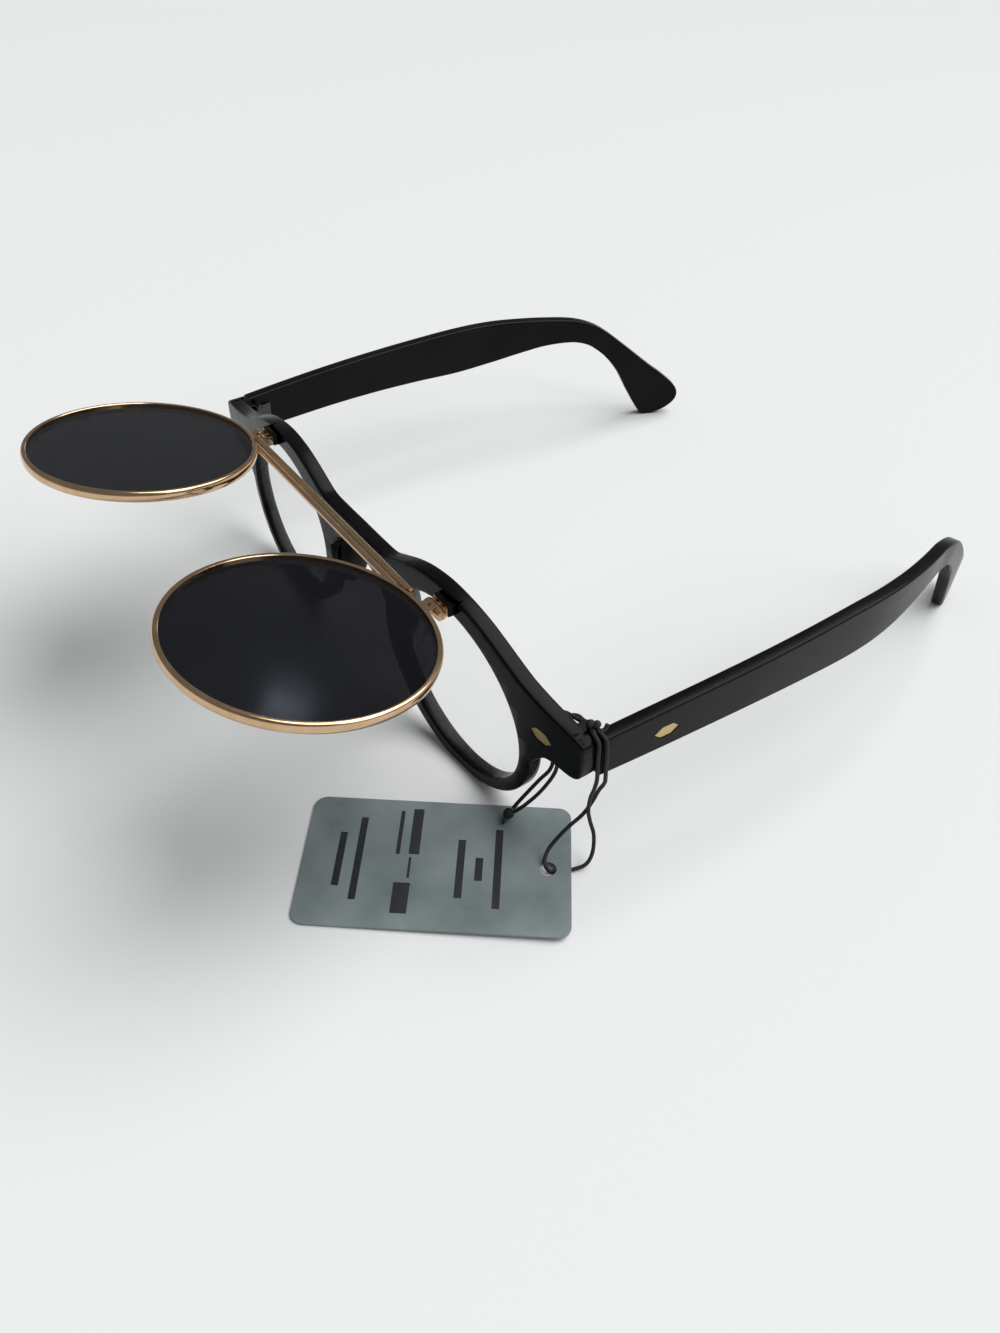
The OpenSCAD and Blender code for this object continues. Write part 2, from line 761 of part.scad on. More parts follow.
// Two turns round the left end piece at the temple joint, the rear one clear of the
// temple's swing, and a loose end that stands up on top
wrap_top = end_top + thread_r + 0.35;
wrap_side = half_w + thread_r + 0.1;
swing_side = half_w + thread_r + 0.65;
fore_turn = [
    [62.3, 7.2, 25], [62.3, 7.2, 30], [62.8, 7.7, 33.4], [65.4, 7.9, 34.5], [67.6, 7.9, 35.2],
    [69, 8.1, 35.9], [70.5, 7.6, wrap_top + 0.1], [72.2, 7.1, wrap_top - 0.1], [wrap_side - 0.4, 7.1, wrap_top - 0.8],
    [wrap_side, 7.2, 34], [wrap_side, 7.5, 29.5], [wrap_side, 7.9, 25.4]];
rear_turn = [
    [63.3, 7.4, 25], [63.3, 7.4, 30], [63.6, 8.4, 32.6], [65.7, 8.8, 34.4], [67.8, 8.8, 34.8],
    [69.2, 8.9, 35.6], [70.7, 8.4, wrap_top + 0.1], [72.6, 8.2, wrap_top], [swing_side - 0.5, 8.4, wrap_top - 0.5],
    [swing_side, 8.6, 34.4], [swing_side, 9, 29.5], [swing_side, 9.5, 25]];
stub = [[72.6, 8.2, wrap_top], [72.7, 9.2, wrap_top + 0.3], [72.6, 9.8, wrap_top + 1.2]];
bead_r = 0.75;
beads = [[70.8, 7.4, wrap_top + thread_r + bead_r + 0.05],
    [71.6, 8.2, wrap_top + thread_r + bead_r + 0.05]];
// Down to the tag, through its hole, out under its edge and back
loop_route = [
    [swing_side, 9.5, 24.8], [73.9, 10, 22.6], [72.6, 10.3, 19.4], [71.3, 10.5, 15],
    [70.5, 9.2, 11], [69.6, 6.8, 8],
    [69.1, 4.4, 5.2], [69.2, 2.4, 3.3], [70.2, 0.8, 2.2], [71.5, 0.3, 1.5], [72.2, 1, 0.5],
    [73.2, 2.6, 0.5], [74.4, 5.4, 0.6], [75.1, 7.6, 1.4], [74.5, 9.4, 3.2], [73.2, 10.3, 6.6],
    [71.9, 10.1, 9.4], [71.4, 9.6, 12.6], [72, 9, 17.4], [73.3, 8.3, 21.6],
    [wrap_side, 7.9, 25.2]];
// The two tails, knotted together where they reach the tag
fore_tail = [
    [62.3, 7.2, 24.8], [62.2, 7.4, 21], [61.7, 7.3, 17], [60, 6.3, 12.9], [57.8, 4.7, 7.1],
    [56.9, 3.5, 4.2], [56.75, 2.75, 3.2]];
rear_tail = [
    [63.3, 7.4, 24.8], [63.3, 7.5, 21], [63.1, 7.4, 17.5], [62.2, 6.5, 13.7],
    [60.6, 5.2, 9.2], [58.7, 3.4, 5], [57.7, 2.4, 3.3]];
knot_at = [56.9, 1.6, 2.5];
knot_r = 1.15;
knot_end = [knot_at, [57.4, 0.4, 2.1], [57.9, -0.6, 1.85]];

module thread_colour() {
    color([0.04, 0.04, 0.04]) placed() children();
}
module thread_wrap() {
    thread_colour() {
        tube(rear_turn, thread_r, 2);
        tube(fore_turn, thread_r, 2);
        tube(stub, thread_r, 2);
    }
}
module thread_loop() { thread_colour() tube(loop_route, thread_r, 2); }
module thread_tails() {
    thread_colour() {
        tube(fore_tail, thread_r, 2);
        tube(rear_tail, thread_r, 2);
    }
}
module thread_beads() {
    thread_colour()
        for (at = beads)
            translate(at) sphere(r = bead_r, $fn = round_fn);
}
module thread_knot() {
    thread_colour() {
        translate(knot_at) sphere(r = knot_r, $fn = round_fn);
        tube(knot_end, thread_r, 1);
    }
}

module left() { children(); }
module right() { mirror([1, 0, 0]) children(); }

front_frame();
left() clear_lens();  // clear_lens_left
right() clear_lens();  // clear_lens_right
left() placed() front_rivet();  // front_rivet_left
right() placed() front_rivet();  // front_rivet_right
left() temple();  // temple_left
right() temple();  // temple_right
left() temple_rivet();  // temple_rivet_left
right() temple_rivet();  // temple_rivet_right
left() front_leaf();  // front_leaf_left
right() front_leaf();  // front_leaf_right
left() temple_leaf();  // temple_leaf_left
right() temple_leaf();  // temple_leaf_right
left() hinge_screw();  // hinge_screw_left
right() hinge_screw();  // hinge_screw_right
left() flip_mount();  // flip_mount_left
right() flip_mount();  // flip_mount_right
left() flip_leaf();  // flip_leaf_left
right() flip_leaf();  // flip_leaf_right
left() flip_screw();  // flip_screw_left
right() flip_screw();  // flip_screw_right
left() raised() wire_rim();  // flip_rim_left
right() raised() wire_rim();  // flip_rim_right
left() raised() dark_lens();  // dark_lens_left
right() raised() dark_lens();  // dark_lens_right
upper_bar();
lower_bar();
hang_tag();
thread_wrap();
thread_loop();
thread_tails();
thread_beads();
thread_knot();
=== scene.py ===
import json
import math

import bmesh
import bpy
from mathutils import Matrix, Vector


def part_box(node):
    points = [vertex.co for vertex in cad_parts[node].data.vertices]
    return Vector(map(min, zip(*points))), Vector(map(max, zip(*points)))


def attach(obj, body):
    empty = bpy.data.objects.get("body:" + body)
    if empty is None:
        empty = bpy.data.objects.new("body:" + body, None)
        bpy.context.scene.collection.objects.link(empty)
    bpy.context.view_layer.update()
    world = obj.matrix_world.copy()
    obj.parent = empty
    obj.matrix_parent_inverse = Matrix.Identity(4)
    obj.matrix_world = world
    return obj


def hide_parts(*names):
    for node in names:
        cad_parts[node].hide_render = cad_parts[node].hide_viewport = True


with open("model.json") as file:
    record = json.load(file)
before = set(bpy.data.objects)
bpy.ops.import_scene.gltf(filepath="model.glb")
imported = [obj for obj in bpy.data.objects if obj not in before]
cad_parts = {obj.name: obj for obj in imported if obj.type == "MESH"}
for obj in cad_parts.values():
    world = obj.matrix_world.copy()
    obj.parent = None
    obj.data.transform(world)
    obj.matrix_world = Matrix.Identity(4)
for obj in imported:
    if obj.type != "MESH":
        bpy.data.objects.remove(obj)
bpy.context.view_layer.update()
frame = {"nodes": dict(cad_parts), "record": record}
nodes = frame["nodes"]
mm = 0.001

# Everything is laid out from the front's foremost face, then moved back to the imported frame
layout = {
    "frontWidth": 147,
    "frontHeight": 46.5,
    "frontThick": 3.5,
    "wrapRadius": 660,
    "lean": 2.3,
    "endDepth": 8.1,
    "jointGap": 0.3,
    "hingeHeight": 30.2,
}
layout["foreY"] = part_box("temple_left")[0].y / mm - layout["endDepth"] - layout["jointGap"]
halfWidth = layout["frontWidth"] / 2
endTop = layout["frontHeight"] - 10.9
endLow = endTop - 10.4


# Camera first: it stands where the photograph was taken from
camera = {
    "place": (0.163395, -0.132850, 0.168332),
    "looksAlong": (-0.584722, 0.451217, -0.674168),
    "up": (-0.569008, 0.364211, 0.737279),
    "lens": 28.07,
}


def addCamera():
    data = bpy.data.cameras.new("camera")
    data.sensor_fit = "VERTICAL"
    data.sensor_height = 36
    data.lens = camera["lens"]
    data.clip_start = 0.01
    data.clip_end = 20
    seer = bpy.data.objects.new("camera", data)
    bpy.context.scene.collection.objects.link(seer)
    back = -Vector(camera["looksAlong"]).normalized()
    up = Vector(camera["up"])
    up = (up - back * up.dot(back)).normalized()
    side = up.cross(back)
    turn = Matrix((side, up, back)).transposed()
    seer.matrix_world = Matrix.Translation(camera["place"]) @ turn.to_4x4()
    bpy.context.scene.camera = seer


addCamera()
print("camera set")


# Shader maths on wrapped sockets
class Wire:
    def __init__(self, paint, socket):
        self.paint = paint
        self.socket = socket

    def maths(self, operation, other=None, swap=False):
        values = [self] if other is None else [self, other]
        if swap:
            values.reverse()
        sockets = {i: v for i, v in enumerate(values)}
        return self.paint.add("ShaderNodeMath", {"operation": operation}, sockets)

    def __add__(self, other):
        return self.maths("ADD", other)

    def __sub__(self, other):
        return self.maths("SUBTRACT", other)

    def __mul__(self, other):
        return self.maths("MULTIPLY", other)

    def __truediv__(self, other):
        return self.maths("DIVIDE", other)

    def __pow__(self, other):
        return self.maths("POWER", other)

    def __rsub__(self, other):
        return self.maths("SUBTRACT", other, True)

    def __rtruediv__(self, other):
        return self.maths("DIVIDE", other, True)

    __radd__ = __add__
    __rmul__ = __mul__


class Paint:
    def __init__(self, name, color, roughness, **fixed):
        self.material = bpy.data.materials.new(name)
        self.material.use_nodes = True
        self.tree = self.material.node_tree
        self.shader = self.tree.nodes["Principled BSDF"]
        self.set("Base Color", (*color, 1))
        self.set("Roughness", roughness)
        for key, value in fixed.items():
            self.set(key, value)

    def set(self, key, value):
        socket = self.shader.inputs[key]
        if isinstance(value, Wire):
            self.tree.links.new(value.socket, socket)
        else:
            socket.default_value = value

    def add(self, kind, settings=None, sockets=None, out=0):
        node = self.tree.nodes.new(kind)
        for key, value in (settings or {}).items():
            if key == "stops":
                ramp = node.color_ramp
                while len(ramp.elements) < len(value):
                    ramp.elements.new(0.5)
                for element, (place, shade) in zip(ramp.elements, value):
                    element.position = place
                    element.color = (*shade, 1)
            else:
                setattr(node, key, value)
        for key, value in (sockets or {}).items():
            if isinstance(value, Wire):
                self.tree.links.new(value.socket, node.inputs[key])
            else:
                node.inputs[key].default_value = value
        return Wire(self, node.outputs[out])

    def place(self, stretch=(1, 1, 1)):
        at = self.add("ShaderNodeTexCoord", out=3)
        return self.add("ShaderNodeMapping", sockets={"Vector": at, "Scale": stretch})

    def noise(self, size, detail=3, stretch=(1, 1, 1), roughness=0.5):
        sockets = {
            "Vector": self.place(stretch),
            "Scale": 1 / (size * mm),
            "Detail": detail,
            "Roughness": roughness,
        }
        return self.add("ShaderNodeTexNoise", sockets=sockets)

    def ramp(self, value, stops):
        return self.add("ShaderNodeValToRGB", {"stops": stops}, {"Fac": value})

    def spread(self, value, low, high, to=(0, 1)):
        sockets = {"Value": value, "From Min": low, "From Max": high, "To Min": to[0], "To Max": to[1]}
        return self.add("ShaderNodeMapRange", sockets=sockets)

    def bump(self, height, depth, strength=1):
        sockets = {"Height": height, "Distance": depth * mm, "Strength": strength}
        self.set("Normal", self.add("ShaderNodeBump", sockets=sockets))


blackLook = {"color": (0.003, 0.003, 0.0035), "roughness": 0.22, "specular": 0.1}


def blackPlastic():
    paint = Paint("black plastic", blackLook["color"], blackLook["roughness"])
    paint.set("Specular IOR Level", blackLook["specular"])
    haze = paint.noise(9, 4)
    wear = paint.noise(0.5, 2, (1, 0.25, 1))
    paint.set("Roughness", paint.spread(haze, 0.3, 0.7, (0.2, 0.3)) + wear * 0.04)
    swirl = paint.noise(14, 2)
    shades = [(0.35, (0.0022, 0.0022, 0.0026)), (0.65, (0.0045, 0.0045, 0.0058))]
    paint.set("Base Color", paint.ramp(swirl, shades))
    paint.bump(paint.noise(1.6, 3) + paint.noise(0.12, 1) * 0.15, 0.012, 0.5)
    return paint.material


goldLook = {"color": (0.62, 0.43, 0.26), "roughness": 0.14}


def goldWire():
    paint = Paint("champagne gold wire", goldLook["color"], goldLook["roughness"], Metallic=1)
    tint = paint.noise(4, 3)
    shades = [(0.3, (0.58, 0.38, 0.22)), (0.7, (0.7, 0.49, 0.31))]
    paint.set("Base Color", paint.ramp(tint, shades))
    rub = paint.noise(0.25, 3, (1, 1, 0.2))
    paint.set("Roughness", paint.spread(rub, 0.3, 0.7, (0.1, 0.2)))
    paint.bump(rub, 0.008, 0.4)
    return paint.material


def rivetGold():
    paint = Paint("pale gold rivets", (0.62, 0.45, 0.2), 0.34, Metallic=1)
    brushed = paint.noise(0.3, 3, (1, 1, 6))
    shades = [(0.3, (0.55, 0.38, 0.16)), (0.75, (0.7, 0.53, 0.27))]
    paint.set("Base Color", paint.ramp(brushed, shades))
    paint.set("Roughness", paint.spread(brushed, 0.2, 0.8, (0.28, 0.42)))
    paint.bump(brushed, 0.01, 0.5)
    return paint.material


def hingeMetal():
    paint = Paint("dark hinge steel", (0.06, 0.06, 0.065), 0.34, Metallic=1)
    mottle = paint.noise(0.6, 4)
    shades = [(0.3, (0.045, 0.045, 0.05)), (0.7, (0.085, 0.085, 0.09))]
    paint.set("Base Color", paint.ramp(mottle, shades))
    paint.set("Roughness", paint.spread(mottle, 0.3, 0.7, (0.2, 0.36)))
    paint.bump(paint.noise(0.2, 2), 0.008, 0.5)
    return paint.material


def clearGlass():
    paint = Paint("clear lens", (0.97, 0.985, 0.985), 0.03)
    paint.set("Specular IOR Level", 0.35)
    smear = paint.noise(11, 4)
    paint.set("Roughness", paint.spread(smear, 0.35, 0.75, (0.02, 0.09)))
    paint.set("Alpha", paint.spread(smear, 0.2, 0.8, (0.05, 0.09)))
    return paint.material


darkLook = {"color": (0.0015, 0.0018, 0.004), "roughness": 0.05, "specular": 0.3}


def darkGlass():
    paint = Paint("dark lens", darkLook["color"], darkLook["roughness"])
    paint.set("Specular IOR Level", darkLook["specular"])
    smear = paint.noise(13, 4)
    paint.set("Roughness", paint.spread(smear, 0.3, 0.75, (0.06, 0.14)))
    paint.set("Alpha", paint.spread(smear, 0.2, 0.8, (0.87, 0.9)))
    return paint.material


def tagCard():
    paint = Paint("coated tag card", (0.12, 0.16, 0.165), 0.32)
    paint.set("Specular IOR Level", 0.5)
    clouds = paint.noise(16, 3)
    shades = [(0.3, (0.15, 0.185, 0.19)), (0.7, (0.25, 0.29, 0.295))]
    paint.set("Base Color", paint.ramp(clouds, shades))
    grain = paint.noise(0.4, 3)
    paint.set("Roughness", paint.spread(clouds, 0.3, 0.7, (0.24, 0.38)) + grain * 0.06)
    paint.bump(grain, 0.01, 0.4)
    return paint.material


def plainInk():
    paint = Paint("plain dark ink", (0.012, 0.014, 0.016), 0.45)
    mottle = paint.noise(0.5, 2)
    shades = [(0.3, (0.009, 0.011, 0.012)), (0.7, (0.018, 0.021, 0.023))]
    paint.set("Base Color", paint.ramp(mottle, shades))
    paint.set("Roughness", paint.spread(mottle, 0.3, 0.7, (0.4, 0.52)))
    paint.bump(mottle, 0.004, 0.3)
    return paint.material


def threadFibre():
    paint = Paint("black thread", (0.008, 0.008, 0.009), 0.75)
    lay = paint.add("ShaderNodeTexWave", {"bands_direction": "DIAGONAL"},
        {"Vector": paint.place(), "Scale": 900, "Distortion": 1.5, "Detail": 2})
    shades = [(0.2, (0.005, 0.005, 0.006)), (0.9, (0.022, 0.022, 0.025))]
    paint.set("Base Color", paint.ramp(lay, shades))
    paint.bump(lay, 0.05, 0.8)
    return paint.material


looks = {
    "black_plastic": blackPlastic(),
    "gold_wire": goldWire(),
    "rivet_gold": rivetGold(),
    "hinge_steel": hingeMetal(),
    "clear_lens": clearGlass(),
    "dark_lens": darkGlass(),
    "tag_card": tagCard(),
    "plain_ink": plainInk(),
    "thread": threadFibre(),
}
for part in frame["record"]["subparts"]:
    node = nodes[part["node"]]
    node.data.materials.clear()
    node.data.materials.append(looks[part["material_slot"]])
print("materials made")


# Small modelling tools
def curveAt(a, b, c, d, t):
    return 0.5 * (2 * b + (c - a) * t + (2 * a - 5 * b + 4 * c - d) * t * t
        + (3 * b - a - 3 * c + d) * t ** 3)


def curve(points, steps, last=True):
    p = [Vector(q) for q in points]
    out = []
    for i in range(len(p) - 1):
        a, d = p[max(i - 1, 0)], p[min(i + 2, len(p) - 1)]
        out += [curveAt(a, p[i], p[i + 1], d, k / steps) for k in range(steps)]
    return out + [p[-1]] if last else out


def toFrame(v):
    return Vector((v[0], v[1] + layout["foreY"], v[2])) * mm


def faceY(x, depth=0):
    radius = layout["wrapRadius"]
    return radius - math.sqrt((radius - depth) ** 2 - x * x)


def leanOver(v):
    turn = math.radians(layout["lean"])
    z = v.z - layout["frontHeight"] / 2
    y = v.y * math.cos(turn) - z * math.sin(turn)
    z = v.y * math.sin(turn) + z * math.cos(turn) + layout["frontHeight"] / 2
    return Vector((v.x, y, z))


def addPiece(name, mesh, body, look, smooth=35):
    piece = bpy.data.objects.new(name, mesh)
    bpy.context.scene.collection.objects.link(piece)
    mesh.materials.clear()
    mesh.materials.append(looks[look])
    shadeByAngle(mesh, smooth)
    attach(piece, body)
    return piece


def shadeByAngle(mesh, limit):
    shape = bmesh.new()
    shape.from_mesh(mesh)
    for face in shape.faces:
        face.smooth = True
    for edge in shape.edges:
        if len(edge.link_faces) == 2:
            edge.smooth = edge.calc_face_angle(0) < math.radians(limit)
    shape.to_mesh(mesh)
    shape.free()


def slabMesh(name, outlines, thick, bevel, rounds=2):
    # A flat slab in x and z with rounded edges, from y = 0 to its thickness
    flat = bpy.data.curves.new(name, "CURVE")
    flat.dimensions = "2D"
    flat.fill_mode = "BOTH"
    flat.extrude = thick / 2 - bevel
    flat.bevel_depth = bevel
    flat.bevel_resolution = rounds
    flat.offset = -bevel
    for outline in outlines:
        spline = flat.splines.new("POLY")
        spline.points.add(len(outline) - 1)
        for point, (x, z) in zip(spline.points, outline):
            point.co = (x, z, 0, 1)
        spline.use_cyclic_u = True
    holder = bpy.data.objects.new(name, flat)
    bpy.context.scene.collection.objects.link(holder)
    graph = bpy.context.evaluated_depsgraph_get()
    mesh = bpy.data.meshes.new_from_object(holder.evaluated_get(graph))
    bpy.data.objects.remove(holder)
    for v in mesh.vertices:
        v.co = (v.co.x, thick / 2 - v.co.z, v.co.y)
    mesh.flip_normals()
    return mesh


def sliceAlong(shape, axis, stations):
    for at in stations:
        normal = Vector((0, 0, 0))
        normal[axis] = 1
        place = normal * at
        geometry = shape.verts[:] + shape.edges[:] + shape.faces[:]
        bmesh.ops.bisect_plane(shape, geom=geometry, plane_co=place, plane_no=normal)


# The black front: its outline is the same as the CAD's
front = {
    "openings": {"across": 21.5, "down": 18.7, "tilt": 33, "x": 36.3},
    "rim": 3.05,
    "noseRim": 4.2,
    "footCut": 0.35,
    "bridgeTop": 40.9,
    "archTop": 34.3,
    "edge": 0.55,
}


def openRadius(angle):
    o = front["openings"]
    t = math.radians(angle + o["tilt"])
    return o["across"] * o["down"] / math.hypot(o["down"] * math.cos(t), o["across"] * math.sin(t))


def lensHeight():
    o = front["openings"]
    t = math.radians(o["tilt"])
    reach = math.hypot(o["across"] * math.sin(t), o["down"] * math.cos(t))
    return front["rim"] - front["footCut"] + reach


def noseEdge():
    o = front["openings"]
    t = math.radians(o["tilt"])
    return o["x"] - math.hypot(o["across"] * math.cos(t), o["down"] * math.sin(t)) - front["noseRim"]


def rimEdge(angle):
    t = math.radians(angle)
    wide = front["noseRim"] - front["rim"]
    r = openRadius(angle) + front["rim"] + wide * max(0, -math.cos(t))
    return (front["openings"]["x"] + r * math.cos(t), lensHeight() + r * math.sin(t))


def frontOutline():
    h = layout["frontHeight"]
    top = front["bridgeTop"]
    brow = [(0, top), (8.5, top - 0.1), (13, top + 0.1), (17, h - 3.9), (21, h - 2.2),
        (25, h - 0.9), (29, h - 0.2), (33, h), (37, h - 0.4), (41, h - 1.2), (45, h - 2.4),
        (49, h - 4.1), (53, h - 6), (57, h - 7.8), (61, h - 9), (66, h - 10.1),
        (halfWidth - 2.4, endTop)]
    corner = [(halfWidth - 2.4, endTop), (halfWidth - 0.6, endTop - 0.7),
        (halfWidth, endTop - 2.2), (halfWidth, endLow + 3), (halfWidth - 0.8, endLow + 0.9),
        (halfWidth - 2.8, endLow + 0.1), (halfWidth - 6.8, endLow),
        (halfWidth - 9.2, endLow - 0.6), (halfWidth - 10.9, endLow - 2.2), rimEdge(-6)]
    arc = [rimEdge(a) for a in range(-9, -191, -3)]
    arch = [rimEdge(-194), (noseEdge() - 0.9, lensHeight() + 7.5),
        (noseEdge() - 2.9, front["archTop"] - 1.9), (6, front["archTop"] - 0.5),
        (3, front["archTop"] - 0.1), (0, front["archTop"])]
    half = curve(brow, 6, False) + curve(corner, 6) + [Vector(p) for p in arc] + curve(arch, 6)
    half = [Vector((p[0], max(p[1], 0.03))) for p in half]
    mirrored = [Vector((-p[0], p[1])) for p in half[-2:0:-1]]
    return half + mirrored


def openingOutline(side):
    o = front["openings"]
    out = []
    for i in range(144):
        r = openRadius(i * 2.5)
        t = math.radians(i * 2.5)
        out.append((side * (o["x"] + r * math.cos(t)), lensHeight() + r * math.sin(t)))
    return out


def bentSlab(name, outlines, bevel):
    mesh = slabMesh(name, outlines, layout["frontThick"], bevel)
    shape = bmesh.new()
    shape.from_mesh(mesh)
    bmesh.ops.remove_doubles(shape, verts=shape.verts, dist=0.004)
    sliceAlong(shape, 0, [x * 3 for x in range(-24, 25)])
    for v in shape.verts:
        bent = Vector((v.co.x, faceY(v.co.x, v.co.y), v.co.z))
        v.co = toFrame(leanOver(bent))
    shape.to_mesh(mesh)
    shape.free()
    return mesh


def blockMesh(corners, low, high, bevel=0.3):
    # An upright block on a plan outline, with its edges rounded
    shape = bmesh.new()
    bottom = [shape.verts.new((x, y, low)) for x, y in corners]
    top = [shape.verts.new((x, y, high)) for x, y in corners]
    shape.faces.new(bottom[::-1])
    shape.faces.new(top)
    for i in range(len(corners)):
        j = (i + 1) % len(corners)
        shape.faces.new((bottom[i], bottom[j], top[j], top[i]))
    bmesh.ops.recalc_face_normals(shape, faces=shape.faces)
    bmesh.ops.bevel(shape, geom=shape.edges[:], offset=bevel, segments=2, profile=0.5, affect="EDGES")
    for v in shape.verts:
        v.co = toFrame(v.co)
    return shape


def joinShapes(mesh, shapes):
    whole = bmesh.new()
    whole.from_mesh(mesh)
    for shape in shapes:
        extra = bpy.data.meshes.new("extra")
        shape.to_mesh(extra)
        shape.free()
        whole.from_mesh(extra)
        bpy.data.meshes.remove(extra)
    whole.to_mesh(mesh)
    whole.free()


endPiece = {"starts": 4.5, "edge": 0.3, "inward": 5}


def endBlock(side):
    # The end piece's own outline carried back to the flat joint face
    h = layout["frontHeight"]
    inner = halfWidth - endPiece["inward"]
    outline = curve([(inner, h - 10.6), (halfWidth - 2.4, endTop),
        (halfWidth - 0.6, endTop - 0.7), (halfWidth, endTop - 2.2), (halfWidth, endLow + 3),
        (halfWidth - 0.8, endLow + 0.9), (halfWidth - 2.8, endLow + 0.1),
        (inner, endLow)], 6)
    deep = layout["endDepth"] - endPiece["starts"]
    mesh = slabMesh("end block", [[(side * p[0], p[1]) for p in outline]], deep, endPiece["edge"], 1)
    shape = bmesh.new()
    shape.from_mesh(mesh)
    bpy.data.meshes.remove(mesh)
    if side < 0:
        bmesh.ops.reverse_faces(shape, faces=shape.faces)
    for v in shape.verts:
        depth = v.co.y / deep
        leant = leanOver(Vector((v.co.x, endPiece["starts"] + v.co.y, v.co.z)))
        leant.y += (layout["endDepth"] - leant.y) * max(0, depth * 2 - 1)
        v.co = toFrame(leant)
    return shape


def nosePad(side):
    pad = bmesh.new()
    bmesh.ops.create_uvsphere(pad, u_segments=40, v_segments=28, radius=1)
    centre = Vector((noseEdge() + 1.1, 5.4, lensHeight() + 1.3))
    for v in pad.verts:
        back = (v.co.y + 1) / 2
        v.co = Vector((v.co.x * (2.3 - 1.1 * back), v.co.y * 3.9, v.co.z * (8.8 - 1.6 * back)))
        v.co.x += 0.035 * abs(v.co.z) - 1.1 * back
        v.co += centre
        v.co.x *= side
        v.co = toFrame(leanOver(v.co))
    if side < 0:
        bmesh.ops.reverse_faces(pad, faces=pad.faces)
    return pad


def cutWith(piece, shape):
    mesh = bpy.data.meshes.new("cutter")
    shape.to_mesh(mesh)
    shape.free()
    cutter = bpy.data.objects.new("cutter", mesh)
    bpy.context.scene.collection.objects.link(cutter)
    step = piece.modifiers.new("cut", "BOOLEAN")
    step.operation = "DIFFERENCE"
    step.solver = "EXACT"
    step.use_self = True
    step.object = cutter
    graph = bpy.context.evaluated_depsgraph_get()
    made = bpy.data.meshes.new_from_object(piece.evaluated_get(graph))
    piece.modifiers.clear()
    old = piece.data
    piece.data = made
    bpy.data.meshes.remove(old)
    bpy.data.objects.remove(cutter)


def lozengePrism(turn, length, wide, depth):
    tip = wide * 0.62
    corners = [(-length / 2, 0), (-length / 2 + tip, wide / 2), (length / 2 - tip, wide / 2),
        (length / 2, 0), (length / 2 - tip, -wide / 2), (-length / 2 + tip, -wide / 2)]
    shape = bmesh.new()
    near = [shape.verts.new((x, -1, z)) for x, z in corners]
    far = [shape.verts.new((x, depth, z)) for x, z in corners]
    shape.faces.new(near)
    shape.faces.new(far[::-1])
    for i in range(6):
        j = (i + 1) % 6
        shape.faces.new((near[j], near[i], far[i], far[j]))
    bmesh.ops.recalc_face_normals(shape, faces=shape.faces)
    spin = Matrix.Rotation(turn, 4, "Z")
    for v in shape.verts:
        v.co = spin @ v.co
    return shape


rivet = {"x": 63, "length": 6.1, "wide": 2.9, "sunk": 0.75, "aboveLow": 4.5}
hingeBlock = {"inner": 64, "fore": 5.2, "fromEnd": 3, "lift": 0.4, "above": 3.4}
flipSeat = {"x": 36.2, "wide": 5.2, "low": 43.3, "high": 45.9, "ahead": -1.8, "back": 2.5}


def boxPlan(side, inner, outer, fore, back):
    return [(side * x, y) for x, y in ((inner, fore), (inner, back), (outer, back), (outer, fore))]


def buildFront():
    mesh = bentSlab("front", [frontOutline(), openingOutline(1), openingOutline(-1)], front["edge"])
    joints = []
    for side in (1, -1):
        joints.append(endBlock(side))
        plan = boxPlan(side, hingeBlock["inner"], halfWidth - hingeBlock["fromEnd"],
            hingeBlock["fore"], layout["endDepth"])
        low = endLow + hingeBlock["lift"]
        joints.append(blockMesh(plan, low, layout["hingeHeight"] + hingeBlock["above"]))
        joints.append(nosePad(side))
        half = flipSeat["wide"] / 2
        plan = boxPlan(side, flipSeat["x"] - half, flipSeat["x"] + half, flipSeat["ahead"], flipSeat["back"])
        joints.append(blockMesh(plan, flipSeat["low"], flipSeat["high"], 0.25))
    joinShapes(mesh, joints)
    piece = addPiece("black_front", mesh, "front", "black_plastic")
    for side in (1, -1):
        turn = math.asin(rivet["x"] / layout["wrapRadius"])
        height = endLow + rivet["aboveLow"]
        shape = lozengePrism(side * turn, rivet["length"], rivet["wide"], rivet["sunk"])
        for v in shape.verts:
            v.co += Vector((side * rivet["x"], faceY(rivet["x"]), height))
            v.co = toFrame(leanOver(v.co))
        cutWith(piece, shape)
    shadeByAngle(piece.data, 35)
    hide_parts("front_frame")
    return piece


buildFront()
print("front built")


# Temples
temple = {
    "length": 142,
    "rootHeight": 9.5,
    "thick": 3,
    "bow": 2.3,
    "tipTurn": 17.3,
    "x": halfWidth + 0.4,
    "edge": 0.5,
    "rivetBack": 15,
}
templeY = layout["endDepth"] + layout["jointGap"]


def templeOutline():
    top = endTop - 0.4
    upper = [(0, top), (11, top + 0.6), (25, top + 1.2), (39, top + 1.6), (53, top + 1.9),
        (67, top + 2.1), (79, top + 1.8), (89, top + 1.1), (97, top + 0.4), (105, top - 0.6),
        (111.5, top - 2.7), (117, top - 6), (125, top - 12.4), (132, top - 18.2),
        (136.5, top - 21.7), (140.8, top - 25.7), (142, top - 28.6), (141.2, top - 31.2),
        (138.8, top - 33.4), (136, top - 34.7), (133, -0.35)]
    lower = [(133, -0.35), (131, 0.5), (129, 3.2), (125.4, 9.2), (121.7, 15.7), (117.6, 20.8),
        (114.2, 23.8), (110.4, 26.2), (105, 27.6), (97, 27.5), (89, 26.4), (79, 25.1),
        (67, 24.5), (53, 25.1), (39, 25.6), (25, 25.8), (11, 25.7), (0, top - temple["rootHeight"])]
    outline = curve(upper, 6, False) + curve(lower, 6)
    return [(p[0], max(p[1], 0.03)) for p in outline]


